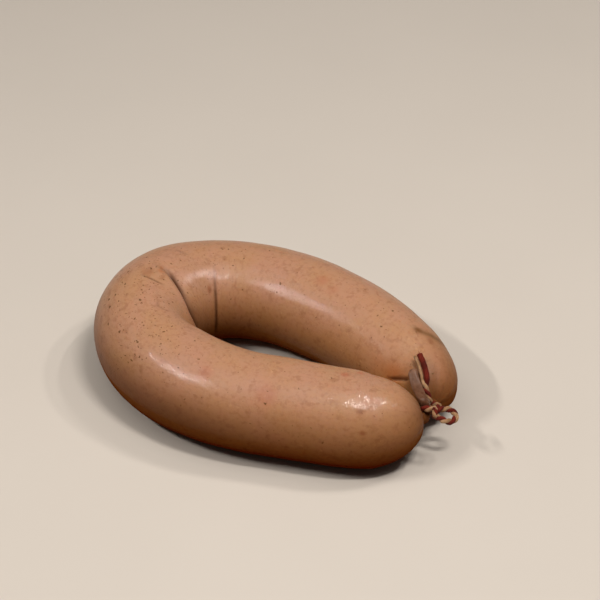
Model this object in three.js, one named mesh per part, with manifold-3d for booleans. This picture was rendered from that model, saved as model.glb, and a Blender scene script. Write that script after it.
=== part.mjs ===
// A ring sausage: one filled natural casing bent into a closed ring, with both ends drawn together and
// tied with butcher's twine. It lies on z = 0 with the ring's long side along x.

import * as THREE from "three";
import { mergeVertices } from "three/addons/utils/BufferGeometryUtils.js";
import Module from "manifold-3d";

const wasm = await Module();
wasm.setup();

// Driving dimensions of the ring, in millimetres and degrees. "along" is measured down the middle of the
// filling, from 0 where the front neck leaves it to the same place at the rear neck.
const frontPole = { x: 59.25, y: -40.47 };
const frontHeading = -165.8;
const stretches = [
  { run: 20, turn: -15.2 },
  { run: 22, turn: -15.0 },
  { run: 24, turn: 4.0 },
  { run: 44, turn: -34.4 },
  { run: 30, turn: -46.0 },
  { run: 30, turn: -66.6 },
  { run: 24, turn: -30.0 },
  { run: 22, turn: -19.6 },
  { run: 40, turn: -15.0 },
  { run: 30, turn: -10.9 },
  { run: 18, turn: -38.2 },
];
const fullness = [
  { along: 20, radius: 19.9 },
  { along: 60, radius: 20.1 },
  { along: 95, radius: 20.8 },
  { along: 128, radius: 21.9 },
  { along: 155, radius: 22.4 },
  { along: 185, radius: 20.7 },
  { along: 220, radius: 20.6 },
  { along: 255, radius: 19.8 },
  { along: 285, radius: 17.3 },
];
const easing = { turn: 9, radius: 14 };
const frontDome = { length: 33.2, power: 2.26 };
const rearDome = { length: 28.4, power: 2.04 };
const restInset = { front: 20, rear: 18 };
// The soft casing settles by this much where it lies on the surface.
const sag = 0.9;
// The stretches of the two arms that may press on each other, and the slit kept between them
const arms = { frontTo: 95, rearFrom: 215, gap: 0.4 };

// The deep fold on the inside of the bend. Each corner gives, for an angle around the casing, where the
// fold's line lies along the ring and which share of the full depth it has there.
const foldCorners = [
  { turned: -60, along: 146, share: 0 },
  { turned: -15, along: 141, share: 0.6 },
  { turned: 10, along: 137.5, share: 0.9 },
  { turned: 28, along: 138.6, share: 1 },
  { turned: 36, along: 140.4, share: 1 },
  { turned: 43, along: 143.2, share: 1 },
  { turned: 55, along: 148, share: 0.95 },
  { turned: 65, along: 151.5, share: 0.75 },
  { turned: 80, along: 153.2, share: 0.22 },
  { turned: 100, along: 153.4, share: 0 },
];
const fold = { depth: 3.8, lipSide: 1.6, farSide: 2.8, easing: 6, rowsFrom: 118, rowsTo: 167 };
// The bulges on both sides of the fold, and the hollow where the squeezed inner side is sunk
const bulges = [
  { height: 0.4, at: -3.8, width: 3 },
  { height: 0.55, at: 11, width: 6 },
];
const hollow = { along: 122, turned: 28, depth: 3.2, run: 13, spread: 34 };
// Rows that bend as tightly as the fold does are not squeezed closer than this share.
const leastSqueeze = 0.25;
// The lip round the rear neck, where the filling ends and the gathered casing begins
const lip = { at: 293, depth: 1.4, width: 2.2, side: 34, spread: 30 };
// The gathers that run into both necks
const gathers = { count: 9, depth: 0.34, reach: 5.5, fullFromRadius: 6 };

// The tie: one turn of twine round both necks, lower at the back, a small knot, a hanging loop and a
// free end
const twineDiameter = 2.5;
const neckRadius = 0.95;
// The filling still spreads the casing to this radius where a neck leaves it.
const pole = { radius: 3.1, fadesOver: 2.4 };
const tie = { x: 62.6, y: -37.3, z: 20.9, radius: 3.6, tilt: 25 };
const knot = { x: 64.4, y: -42.0, z: 21.6, radius: 1.4, thickness: 2.3 };
const clearance = 0.5;

// The empty end of the casing beyond the tie: a flat sleeve that lies up against the rear end
const sleeve = { radius: 2.0, flatness: 0.5, opensAfter: 0.4, spread: 3, tip: 2.4 };

const frontNeckRoute = [
  [60.7, -40.1, 17.8],
  [61.7, -39.1, 18.6],
  [61.9, -38.1, 20.6],
];
const sleeveRoute = [
  [61.3, -38.1, 23.3],
  [59.8, -37.6, 24.8],
  [58.5, -34.2, 24.9],
  [57.5, -29.4, 25.8],
  [56.4, -25.2, 28.3],
  [56.0, -23.8, 29.5],
];
const rearNeckRoute = [
  [63.9, -32.6, 16.2],
  [63.6, -35.4, 17.2],
  [63.3, -36.4, 19.3],
  [63.3, -36.5, 21.9],
];
const freeEndRoute = [
  [62.8, -34.1, 19.8],
  [62.5, -33.9, 21.9],
  [61.9, -32.8, 23.4],
  [61.3, -31.0, 24.2],
  [61.0, -28.7, 25.8],
  [60.5, -26.0, 28.4],
  [59.4, -22.8, 31.1],
  [57.8, -19.5, 33.3],
];
const loopRoute = [
  [63.2, -41.7, 21.9],
  [66.6, -40.2, 21.8],
  [69.5, -39.2, 21.2],
  [71.8, -40.2, 20.8],
  [72.9, -42.7, 20.3],
  [71.6, -44.9, 19.8],
  [69.2, -45.2, 19.8],
  [66.9, -44.1, 20.2],
  [63.6, -42.6, 21.2],
];

// Facets
const aroundSausage = 34;
const aroundTwine = 8;
const rowStep = { share: 0.21, least: 1.0, most: 4.2, atFold: 2.0, onSteepDome: 0.12 };
const routeStep = 1.3;
const spineStep = 0.5;
const aroundTie = 24;
const aroundKnot = 16;

const degrees = Math.PI / 180;
const total = stretches.reduce((sum, stretch) => sum + stretch.run, 0);

// Reads a broken line of [at, value] corners.
function onLine(corners, at) {
  const next = corners.findIndex((corner) => corner[0] >= at);
  if (next === 0) return corners[0][1];
  if (next < 0) return corners.at(-1)[1];
  const [from, to] = [corners[next - 1], corners[next]];
  return from[1] + ((to[1] - from[1]) * (at - from[0])) / (to[0] - from[0]);
}

// The same line with its corners eased: its mean over a short way on both sides.
function eased(corners, at, reach) {
  const samples = 25;
  let sum = 0;
  for (let i = 0; i < samples; i++) {
    sum += onLine(corners, at + reach * ((2 * i) / (samples - 1) - 1));
  }
  return sum / samples;
}

// The direction of the sausage's middle line seen from above, in degrees
const beyond = 40;
const firstBend = stretches[0].turn / stretches[0].run;
const lastBend = stretches.at(-1).turn / stretches.at(-1).run;
const headingCorners = [
  [-beyond, frontHeading - beyond * firstBend],
  [0, frontHeading],
];
for (const { run, turn } of stretches) {
  const [at, heading] = headingCorners.at(-1);
  headingCorners.push([at + run, heading + turn]);
}
headingCorners.push([total + beyond, headingCorners.at(-1)[1] + beyond * lastBend]);

function headingAt(along) {
  return eased(headingCorners, along, easing.turn) * degrees;
}

// The middle line from above, walked in short steps from the front pole
const walked = [[frontPole.x, frontPole.y]];
for (let along = 0; along < total; along += spineStep) {
  const heading = headingAt(along + spineStep / 2);
  const [x, y] = walked.at(-1);
  walked.push([x + spineStep * Math.cos(heading), y + spineStep * Math.sin(heading)]);
}

// How far an end swells, from 0 at its pole to 1 where the dome is over
function dome(fromPole, { length, power }) {
  const left = THREE.MathUtils.clamp(1 - fromPole / length, 0, 1);
  return (1 - left ** power) ** (1 / power);
}

const fullnessCorners = fullness.map(({ along, radius }) => [along, radius]);

function radiusAt(along) {
  const full = eased(fullnessCorners, along, easing.radius);
  return full * dome(along, frontDome) * dome(total - along, rearDome);
}

function spineAt(along) {
  const place = along / spineStep;
  const from = Math.min(Math.floor(place), walked.length - 2);
  const share = place - from;
  const resting = THREE.MathUtils.clamp(along, restInset.front, total - restInset.rear);
  return new THREE.Vector3(
    THREE.MathUtils.lerp(walked[from][0], walked[from + 1][0], share),
    THREE.MathUtils.lerp(walked[from][1], walked[from + 1][1], share),
    radiusAt(resting) - sag,
  );
}

// Relief of the filled casing. "around" is 0 on the ring's inner side, 90 degrees on top, 180 outside.
function turnedFrom(around, side) {
  return THREE.MathUtils.euclideanModulo(around / degrees - side + 180, 360) - 180;
}

const foldLine = foldCorners.map(({ turned, along }) => [turned, along]);
const foldShares = foldCorners.map(({ turned, share }) => [turned, share]);

// The near side overlaps: it falls steeply into the fold, and the far side climbs out slowly.
function foldAt(along, around, radius) {
  const turned = turnedFrom(around, 0);
  const bend = Math.abs(headingAt(along + 1) - headingAt(along - 1)) / 2;
  const stretch = Math.max(1 - bend * radius * Math.cos(around), leastSqueeze);
  const away = (along - eased(foldLine, turned, fold.easing)) * stretch;
  const width = away < 0 ? fold.lipSide : fold.farSide;
  const valley = fold.depth * Math.exp(-((Math.abs(away) / width) ** 1.5));
  const raised = bulges.reduce(
    (sum, bulge) => sum + bulge.height * Math.exp(-(((away - bulge.at) / bulge.width) ** 2)),
    0,
  );
  return eased(foldShares, turned, fold.easing) * (raised - valley);
}

function hollowAt(along, around) {
  const across = (along - hollow.along) / hollow.run;
  const turned = turnedFrom(around, hollow.turned) / hollow.spread;
  return -hollow.depth * Math.exp(-(across ** 2) - turned ** 2);
}

function lipAt(along, around) {
  const turned = turnedFrom(around, lip.side) / lip.spread;
  const across = (along - lip.at) / lip.width;
  return -lip.depth * Math.exp(-(turned ** 2)) * Math.exp(-(across ** 2));
}

function gathersAt(along, around) {
  const fromPole = Math.min(along, total - along);
  return gathers.depth * Math.cos(gathers.count * around) * Math.exp(-fromPole / gathers.reach);
}

function reliefAt(along, around, radius) {
  return (
    foldAt(along, around, radius) +
    hollowAt(along, around) +
    lipAt(along, around) +
    gathersAt(along, around) * Math.min(radius / gathers.fullFromRadius, 1)
  );
}

// A row of the casing: its centre, its two side directions and its radius
function filledRow(along) {
  const heading = headingAt(along);
  const swell = radiusAt(along);
  return {
    along,
    centre: spineAt(along),
    inward: new THREE.Vector3(Math.sin(heading), -Math.cos(heading), 0),
    upward: new THREE.Vector3(0, 0, 1),
    radius: Math.cbrt(swell ** 3 + pole.radius ** 3),
    flatness: 1,
  };
}

function vectors(points) {
  return points.map(([x, y, z]) => new THREE.Vector3(x, y, z));
}

// Rows along a neck: the first row's side directions are carried along the route without twisting.
function neckRows(start, outward, route, sizeAt) {
  const curve = new THREE.CatmullRomCurve3([start.centre, ...vectors(route)], false, "centripetal");
  const length = curve.getLength();
  const count = Math.ceil(length / routeStep);
  const [inward, upward] = [start.inward.clone(), start.upward.clone()];
  const direction = outward.clone();
  const rows = [];
  for (let i = 1; i <= count; i++) {
    const tangent = curve.getTangentAt(i / count);
    const swing = new THREE.Quaternion().setFromUnitVectors(direction, tangent);
    inward.applyQuaternion(swing);
    upward.applyQuaternion(swing);
    direction.copy(tangent);
    rows.push({
      centre: curve.getPointAt(i / count),
      inward: inward.clone(),
      upward: upward.clone(),
      ...sizeAt((i / count) * length, length),
    });
  }
  return rows;
}

// How much wider than a drawn neck the casing still is at a distance from its pole
function coneAt(at) {
  return (pole.radius - neckRadius) * Math.exp(-((at / pole.fadesOver) ** 2));
}

// The front neck widens into the flat sleeve, which ends in a round tip.
const neckLength = new THREE.CatmullRomCurve3(
  [spineAt(0), ...vectors(frontNeckRoute)],
  false,
  "centripetal",
).getLength();

function sleeveSize(at, length) {
  const opening = neckLength + sleeve.opensAfter;
  const open = THREE.MathUtils.smoothstep(at, opening, opening + sleeve.spread);
  const tip = dome(length - at, { length: sleeve.tip, power: 2 });
  return {
    radius: (THREE.MathUtils.lerp(neckRadius, sleeve.radius, open) + coneAt(at)) * tip,
    flatness: THREE.MathUtils.lerp(1, sleeve.flatness, open),
  };
}

function stubSize(at, length) {
  const tip = dome(length - at, { length: neckRadius, power: 2 });
  return { radius: (neckRadius + coneAt(at)) * tip, flatness: 1 };
}

function filledRows() {
  const rows = [];
  let along = 0;
  while (along < total) {
    rows.push(filledRow(along));
    const radius = radiusAt(along);
    const slope = (radiusAt(along + rowStep.onSteepDome) - radius) / rowStep.onSteepDome;
    const nearFold = along > fold.rowsFrom && along < fold.rowsTo;
    const most = nearFold ? rowStep.atFold : rowStep.most;
    const step = THREE.MathUtils.clamp(radius * rowStep.share, rowStep.least, most);
    along += Math.max(step / Math.hypot(1, slope), rowStep.onSteepDome);
  }
  rows.push(filledRow(total));
  return rows;
}

// Where the two arms lie against each other, each is pressed flat on the plane between them.
function pressedShare(row, offset, others) {
  let nearest = null;
  let least = Infinity;
  for (const other of others) {
    const power = row.centre.distanceToSquared(other.centre) - other.radius ** 2;
    if (power < least) [least, nearest] = [power, other];
  }
  const across = nearest.centre.clone().sub(row.centre);
  const distance = across.length();
  const plane = (distance ** 2 + row.radius ** 2 - nearest.radius ** 2) / (2 * distance) - arms.gap / 2;
  const reach = offset.dot(across) / distance;
  return reach > plane && plane > 0 ? plane / reach : 1;
}

const tieAxis = new THREE.Vector3(0, Math.sin(tie.tilt * degrees), Math.cos(tie.tilt * degrees));

// Pushes a point out of the turn of twine, so that the soft casing is dented by it.
function clearOfTie(point) {
  const centre = new THREE.Vector3(tie.x, tie.y, tie.z);
  const outward = point.clone().sub(centre).projectOnPlane(tieAxis).setLength(tie.radius);
  const core = centre.add(outward);
  const away = point.clone().sub(core);
  const least = twineDiameter / 2 + clearance;
  return away.length() < least ? core.add(away.setLength(least)) : point;
}

// The casing is turned straight on a lathe, from the rear neck's tip to the sleeve's tip, and then each
// of its points is moved to where its row bends and swells.
function sausage() {
  const filled = filledRows();
  const [first, last] = [filled[0], filled.at(-1)];
  const backwards = new THREE.Vector3(-Math.cos(headingAt(0)), -Math.sin(headingAt(0)), 0);
  const forwards = new THREE.Vector3(Math.cos(headingAt(total)), Math.sin(headingAt(total)), 0);
  const front = neckRows(first, backwards, [...frontNeckRoute, ...sleeveRoute], sleeveSize);
  const rear = neckRows(last, forwards, rearNeckRoute, stubSize);
  const rows = [...rear.reverse(), ...filled.toReversed(), ...front];
  const frontArm = filled.filter((row) => row.along < arms.frontTo);
  const rearArm = filled.filter((row) => row.along > arms.rearFrom);

  const profile = rows.map((row, i) => new THREE.Vector2(Math.max(row.radius, 0), i));
  profile[0].x = 0;
  profile.at(-1).x = 0;
  const geometry = new THREE.LatheGeometry(profile, aroundSausage);
  const position = geometry.getAttribute("position");
  for (let i = 0; i < position.count; i++) {
    const row = rows[i % rows.length];
    const turned = Math.floor(i / rows.length) % aroundSausage;
    const around = (turned / aroundSausage) * 2 * Math.PI;
    const tip = profile[i % rows.length].x === 0;
    const relief = row.along === undefined ? 0 : reliefAt(row.along, around, row.radius);
    const radius = tip ? 0 : row.radius + relief;
    const offset = row.inward
      .clone()
      .multiplyScalar(radius * row.flatness * Math.cos(around))
      .addScaledVector(row.upward, radius * Math.sin(around));
    if (row.along < arms.frontTo) offset.multiplyScalar(pressedShare(row, offset, rearArm));
    if (row.along > arms.rearFrom) offset.multiplyScalar(pressedShare(row, offset, frontArm));
    const point = clearOfTie(row.centre.clone().add(offset));
    position.setXYZ(i, point.x, point.y, Math.max(point.z, 0));
  }
  return closed(geometry);
}

// Keeps the places alone and joins those that coincide, so that the surface is one closed skin.
function closed(geometry) {
  geometry.deleteAttribute("normal");
  geometry.deleteAttribute("uv");
  return mergeVertices(geometry, 1e-3);
}

function solid(geometry) {
  const skin = closed(geometry);
  return new wasm.Manifold(
    new wasm.Mesh({
      numProp: 3,
      vertProperties: skin.getAttribute("position").array,
      triVerts: new Uint32Array(skin.index.array),
    }),
  );
}

function strand(route) {
  const curve = new THREE.CatmullRomCurve3(vectors(route), false, "centripetal");
  const section = new THREE.Shape();
  for (let i = 0; i < aroundTwine; i++) {
    const turned = (i / aroundTwine) * 2 * Math.PI;
    const x = (twineDiameter / 2) * Math.cos(turned);
    const y = (twineDiameter / 2) * Math.sin(turned);
    if (i === 0) section.moveTo(x, y);
    else section.lineTo(x, y);
  }
  const steps = Math.ceil(curve.getLength() / routeStep);
  return new THREE.ExtrudeGeometry(section, { steps, bevelEnabled: false, extrudePath: curve });
}

// The knot's turn stands across the loop's two legs.
function twine() {
  const roundNecks = new THREE.TorusGeometry(tie.radius, twineDiameter / 2, aroundTwine, aroundTie);
  roundNecks.rotateX(-tie.tilt * degrees).translate(tie.x, tie.y, tie.z);
  const knotTurn = new THREE.TorusGeometry(knot.radius, knot.thickness / 2, aroundTwine, aroundKnot);
  knotTurn.rotateY(Math.PI / 2).translate(knot.x, knot.y, knot.z);
  const joined = [roundNecks, knotTurn, strand(loopRoute), strand(freeEndRoute)]
    .map(solid)
    .reduce((whole, piece) => whole.add(piece));
  const mesh = joined.getMesh();
  const geometry = new THREE.BufferGeometry();
  geometry.setAttribute("position", new THREE.BufferAttribute(new Float32Array(mesh.vertProperties), 3));
  geometry.setIndex(new THREE.BufferAttribute(new Uint32Array(mesh.triVerts), 1));
  return geometry;
}

const casingMaterial = new THREE.MeshStandardMaterial({ color: 0xb98468, roughness: 0.35, metalness: 0 });
const twineMaterial = new THREE.MeshStandardMaterial({ color: 0x8e4a38, roughness: 0.85, metalness: 0 });

const ring = new THREE.Group();
for (const [name, geometry, material] of [
  ["sausage", sausage(), casingMaterial],
  ["twine", twine(), twineMaterial],
]) {
  geometry.computeVertexNormals();
  const mesh = new THREE.Mesh(geometry, material);
  mesh.name = name;
  ring.add(mesh);
}

export default ring;
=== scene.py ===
# %% [markdown]
# # A ring sausage tied with butcher's twine
#
# The object is one boiled sausage in a natural casing. It was filled, bent into a ring, and its two ends
# were drawn together and tied. Two things about it catch the eye: the soft, wet, slightly uneven casing,
# and the small two-coloured twine. The scene makes four pieces: the filled casing, the empty end of the
# casing above the tie, and the two plies of the twine, a dark red one and a cream one.
#
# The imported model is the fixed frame. Everything here is in metres and in its place; lengths are written
# in millimetres, because that is how a butcher would measure a sausage, and are turned to metres last.

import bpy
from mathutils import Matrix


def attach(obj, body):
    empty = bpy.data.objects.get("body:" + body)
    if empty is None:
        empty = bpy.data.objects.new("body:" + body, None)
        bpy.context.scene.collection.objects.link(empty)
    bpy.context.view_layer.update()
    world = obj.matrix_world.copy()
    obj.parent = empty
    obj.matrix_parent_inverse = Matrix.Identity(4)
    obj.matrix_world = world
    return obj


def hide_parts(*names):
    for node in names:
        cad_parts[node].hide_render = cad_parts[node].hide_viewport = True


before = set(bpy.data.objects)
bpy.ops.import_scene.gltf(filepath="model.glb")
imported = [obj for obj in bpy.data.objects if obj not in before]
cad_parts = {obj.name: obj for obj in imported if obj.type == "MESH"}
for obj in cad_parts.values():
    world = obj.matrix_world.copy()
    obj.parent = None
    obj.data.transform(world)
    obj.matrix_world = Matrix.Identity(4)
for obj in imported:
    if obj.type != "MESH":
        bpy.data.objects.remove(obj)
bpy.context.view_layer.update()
print("nodes of the frame:", sorted(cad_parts))

# %% The helpers that come with Python and Blender
import math

import bpy
import numpy as np
from mathutils import Matrix, Vector, noise

MM = 0.001

# %% [markdown]
# ## The camera
#
# The camera comes first. The photograph looks down on the ring from 38 degrees. Parallel lines hardly draw
# together in it, so the camera stands a metre away with a long lens.
# A camera is aimed by turning its own -Z axis towards a target while its Y axis stays up.

# %% Camera
CAMERA_ELEVATION = math.radians(38)
CAMERA_DISTANCE = 1.0
CAMERA_TARGET = Vector((10.57, 58.93, 0.0)) * MM
LENS_MM = 136.2
SENSOR_MM = 36.0


def place_camera():
    data = bpy.data.cameras.new("photo_camera")
    data.lens = LENS_MM
    data.sensor_width = SENSOR_MM
    data.clip_end = 20.0
    camera = bpy.data.objects.new("photo_camera", data)
    bpy.context.scene.collection.objects.link(camera)
    back = Vector((0.0, -math.cos(CAMERA_ELEVATION), math.sin(CAMERA_ELEVATION)))
    camera.location = CAMERA_TARGET + back * CAMERA_DISTANCE
    camera.rotation_euler = (-back).to_track_quat("-Z", "Y").to_euler()
    bpy.context.scene.camera = camera
    return camera


camera = place_camera()
print("camera at", [round(value, 3) for value in camera.location])

# %% [markdown]
# ## The middle line of the ring
#
# A sausage in a curved casing follows a middle line. It could be drawn as a Bezier curve, but a butcher's
# ring is better described as a walk: go so many millimetres and turn so many degrees meanwhile. The list
# below holds those stretches, from the front end round the bend to the rear end. The corners between two
# stretches are eased, because a filled casing never bends at a point.

# %% The walk along the ring
FRONT_POLE = (59.25, -40.47)
FRONT_HEADING = -165.8
RUNS = [20, 22, 24, 44, 30, 30, 24, 22, 40, 30, 18]
TURNS = [-15.2, -15.0, 4.0, -34.4, -46.0, -66.6, -30.0, -19.6, -15.0, -10.9, -38.2]
TOTAL = float(sum(RUNS))
TURN_EASING = 9.0
WALK_STEP = 0.5
EASING_SAMPLES = 25
BEYOND_ENDS = 40.0


def eased(at, corners_at, corners, reach):
    """A broken line with its corners eased: its mean over a short way on both sides."""
    way = np.linspace(-reach, reach, EASING_SAMPLES)
    return np.interp(np.atleast_1d(at)[:, None] + way, corners_at, corners).mean(axis=1)


heading_at = np.concatenate([[-BEYOND_ENDS], [0.0], np.cumsum(RUNS), [TOTAL + BEYOND_ENDS]])
before_front = -BEYOND_ENDS * TURNS[0] / RUNS[0]
after_rear = sum(TURNS) + BEYOND_ENDS * TURNS[-1] / RUNS[-1]
heading_corners = FRONT_HEADING + np.concatenate([[before_front], [0.0], np.cumsum(TURNS), [after_rear]])


def heading(along):
    return np.radians(eased(along, heading_at, heading_corners, TURN_EASING))


walk_along = np.arange(0.0, TOTAL + WALK_STEP / 2, WALK_STEP)
middle_headings = heading(walk_along[:-1] + WALK_STEP / 2)
walk_x = FRONT_POLE[0] + np.concatenate([[0.0], np.cumsum(np.cos(middle_headings) * WALK_STEP)])
walk_y = FRONT_POLE[1] + np.concatenate([[0.0], np.cumsum(np.sin(middle_headings) * WALK_STEP)])
print(f"middle line {TOTAL:.0f} mm, rear end at {walk_x[-1]:.1f}, {walk_y[-1]:.1f}")

# %% [markdown]
# ## How full the casing is
#
# Natural casing varies: this one swells at the bend and is thinner towards its ends. Both ends close in a
# dome, where the casing is drawn together. The middle line rises and falls with the thickness, because
# the sausage lies on the table, and it lies 0.9 mm lower than a stiff one would, because it is soft.

# %% Thickness along the ring
FULL_AT = [20, 60, 95, 128, 155, 185, 220, 255, 285]
FULL_RADIUS = [19.9, 20.1, 20.8, 21.9, 22.4, 20.7, 20.6, 19.8, 17.3]
RADIUS_EASING = 14.0
FRONT_DOME = {"length": 33.2, "power": 2.26}
REAR_DOME = {"length": 28.4, "power": 2.04}
REST_INSET = {"front": 20.0, "rear": 18.0}
SAG = 0.9
NECK_RADIUS = 0.95
ROUND_END = 2.0
BEND_MIDDLE = 150.0


def dome(from_pole, length, power):
    """From 0 at a pole to 1 at its length; a power of 2 ends like a ball, a higher one is blunter."""
    left = np.clip(1.0 - np.asarray(from_pole) / length, 0.0, 1.0)
    return (1.0 - left**power) ** (1.0 / power)


def swell(along):
    full = eased(along, FULL_AT, FULL_RADIUS, RADIUS_EASING)
    return full * dome(along, **FRONT_DOME) * dome(TOTAL - along, **REAR_DOME)


def middle(along):
    resting = np.clip(along, REST_INSET["front"], TOTAL - REST_INSET["rear"])
    x = np.interp(along, walk_along, walk_x)
    y = np.interp(along, walk_along, walk_y)
    return np.stack([x, y, swell(resting) - SAG], axis=-1)


print("thickness at the bend:", round(2 * float(swell(np.array([BEND_MIDDLE]))[0]), 1), "mm")

# %% [markdown]
# ## Rows of points
#
# The casing is swept: a ring of points is set round the middle line, again and again, and the rings are
# joined. A curve object with a round bevel could do that too, but then the folds, which belong to places
# on the casing, would have to be sculpted afterwards. With rows made in code, each point knows how far
# along and how far around it lies, and a fold is a short formula of those two.
#
# The rows stand evenly along the skin rather than along the middle line, so the domes are as finely
# divided as the rest. 192 points around and 430 rows keep the points about 0.7 mm apart.

# %% Even rows over the skin
AROUND = 192
FILLED_ROWS = 430
POLE_RADIUS = 3.1
FINE_STEPS = 6000

fine = TOTAL * (1.0 - np.cos(np.linspace(0.0, math.pi, FINE_STEPS + 1))) / 2.0
skin_way = np.concatenate([[0.0], np.cumsum(np.hypot(np.diff(fine), np.diff(swell(fine))))])
row_along = np.interp(np.linspace(0.0, skin_way[-1], FILLED_ROWS), skin_way, fine)
row_heading = heading(row_along)
row_centre = middle(row_along)
row_radius = np.cbrt(swell(row_along) ** 3 + POLE_RADIUS**3)
row_inward = np.stack([np.sin(row_heading), -np.cos(row_heading), 0 * row_heading], axis=-1)
row_upward = np.tile([0.0, 0.0, 1.0], (FILLED_ROWS, 1))
around = np.linspace(0.0, 2 * math.pi, AROUND, endpoint=False)
print(f"rows every {skin_way[-1] / FILLED_ROWS:.2f} mm along the skin")

# %% [markdown]
# ## Folds, creases and wrinkles
#
# "around" is 0 on the inner side of the ring, 90 degrees on top and 180 on the outer side. On the tight
# bend the inner side is squeezed, and the casing folds over: one deep fold runs from the top down to the
# hole, with the skin bulging beside it, and one narrow crease follows it. A relief of this kind is a
# height added to the radius. A crease is a valley along a short path of places on the casing: the distance
# to the path is measured on the skin, in millimetres, and the depth fades with that distance.

# %% The deep fold
FOLD_TURNS = [-60, -15, 10, 28, 36, 43, 55, 65, 80, 100]
FOLD_LINE = [146, 141, 137.0, 138.0, 140.6, 144.0, 148.8, 152.0, 153.3, 153.4]
FOLD_SHARES = [0, 0.6, 0.9, 1.0, 1.0, 1.0, 0.95, 0.75, 0.22, 0]
FOLD_EASING = 6.0
FOLD = {"depth": 3.4, "lip_side": 1.4, "far_side": 2.8, "steepness": 1.5}
SLIT = {"depth": 1.5, "at": 0.4, "width": 0.7}
BULGES = [{"height": 0.4, "at": -3.8, "width": 3.0}, {"height": 0.55, "at": 11.0, "width": 6.0}]
HOLLOW = {"along": 122.0, "turned": 28.0, "depth": 3.2, "reach": (13.0, 34.0)}
LEAST_SQUEEZE = 0.25


def bell(away, width):
    """1 in the middle, about a third at the width, and nothing far beyond it."""
    return np.exp(-((away / width) ** 2))


def turned_from(angle, degrees):
    """The angle to a place's side, in degrees, the short way round."""
    return (np.degrees(angle) - degrees + 180.0) % 360.0 - 180.0


def skin_stretch(along, angle, radius):
    """How much longer or shorter a step along the skin is than the same step along the middle."""
    bend = np.abs(heading(along + 1.0) - heading(along - 1.0)) / 2.0
    return np.maximum(1.0 - bend[:, None] * radius[:, None] * np.cos(angle), LEAST_SQUEEZE)


def from_fold(along, angle, radius):
    """The distance on the skin to the fold's line, in mm, and the share of the full depth there."""
    turns = turned_from(angle, 0.0)
    line = eased(turns, FOLD_TURNS, FOLD_LINE, FOLD_EASING)
    share = eased(turns, FOLD_TURNS, FOLD_SHARES, FOLD_EASING)
    return (along[:, None] - line) * skin_stretch(along, angle, radius), share


def deep_fold(along, angle, radius):
    """The front part overlaps: its lip falls steeply into the fold, and the far side climbs out slowly."""
    away, share = from_fold(along, angle, radius)
    width = np.where(away < 0.0, FOLD["lip_side"], FOLD["far_side"])
    valley = FOLD["depth"] * np.exp(-((np.abs(away) / width) ** FOLD["steepness"]))
    slit = SLIT["depth"] * bell(away - SLIT["at"], SLIT["width"])
    bulges = sum(bulge["height"] * bell(away - bulge["at"], bulge["width"]) for bulge in BULGES)
    return share * (bulges - valley - slit)


def hollow(along, angle):
    """Beside the fold's lower end the squeezed inner side is sunk over a wide patch."""
    across = bell(along[:, None] - HOLLOW["along"], HOLLOW["reach"][0])
    turned = bell(turned_from(angle, HOLLOW["turned"])[None, :], HOLLOW["reach"][1])
    return -HOLLOW["depth"] * across * turned


print(f"the fold is at most {FOLD['depth'] + SLIT['depth']:.1f} mm deep")


# %% Narrow creases along short paths
def path_distance(along, angle, radius, path):
    """The way on the skin, in mm, from every point to a path of places, and the share of the path there."""
    girth = np.maximum(radius, 1.0)[:, None]
    stretch = skin_stretch(along, angle, radius)
    nearest = np.full((len(along), len(angle)), np.inf)
    passed = np.zeros(nearest.shape)
    for number, ((from_along, from_turn), (to_along, to_turn)) in enumerate(zip(path, path[1:])):
        middle_turn = math.radians((from_turn + to_turn) / 2.0)
        turned = (angle - middle_turn + math.pi) % (2 * math.pi) - math.pi
        x = (along[:, None] - from_along) * stretch
        y = (turned + math.radians(to_turn - from_turn) / 2.0)[None, :] * girth
        run = (to_along - from_along) * stretch
        rise = math.radians(to_turn - from_turn) * girth
        share = np.clip((x * run + y * rise) / (run**2 + rise**2), 0.0, 1.0)
        away = np.hypot(x - share * run, y - share * rise)
        passed = np.where(away < nearest, (number + share) / (len(path) - 1), passed)
        nearest = np.minimum(nearest, away)
    return nearest, passed


# Where the painted shade along the deep fold lies beside its line, and how wide it is, in mm
FOLD_PAINTED_SHADE = {"at": 0.6, "width": 1.1}
BAND_CREASE = [(180.5, 72), (179.8, 36), (179.2, 11), (178.4, -15), (178.0, -32)]
LIP_CREASE = [(285.5, 21), (288.2, 23), (291.8, 30), (294.5, 38), (296.5, 48)]
# The last number of each crease is how strong the painted shade in it is
CREASES = [
    {"path": BAND_CREASE, "depth": 0.55, "width": 0.6, "painted_shade": 0.7},
    {"path": [(145.1, 99), (143.4, 86), (140.6, 68)], "depth": 0.42, "width": 0.5, "painted_shade": 0.5},
    {"path": [(166.0, 102), (167.5, 93), (169.5, 84)], "depth": 0.35, "width": 0.6, "painted_shade": 0.3},
    {"path": [(130.4, 76), (124.9, 80), (120.3, 70)], "depth": 0.3, "width": 0.55, "painted_shade": 0.3},
    {"path": LIP_CREASE, "depth": 1.3, "width": 0.7, "painted_shade": 0.6},
]
CREASE_ENDS_RISE = 3.5


def creases(along, angle, radius):
    """The relief of all creases, and the painted shade that darkens them and the deep fold."""
    relief = np.zeros((len(along), len(angle)))
    fold_away, fold_share = from_fold(along, angle, radius)
    painted_shade = fold_share * bell(fold_away - FOLD_PAINTED_SHADE["at"], FOLD_PAINTED_SHADE["width"])
    for crease in CREASES:
        away, passed = path_distance(along, angle, radius, crease["path"])
        fading = np.clip(np.minimum(passed, 1.0 - passed) * CREASE_ENDS_RISE, 0.0, 1.0)
        valley = fading * bell(away, crease["width"])
        relief -= crease["depth"] * valley
        painted_shade = np.maximum(painted_shade, crease["painted_shade"] * valley)
    return relief, painted_shade


print(len(CREASES), "creases besides the deep fold")

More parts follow.
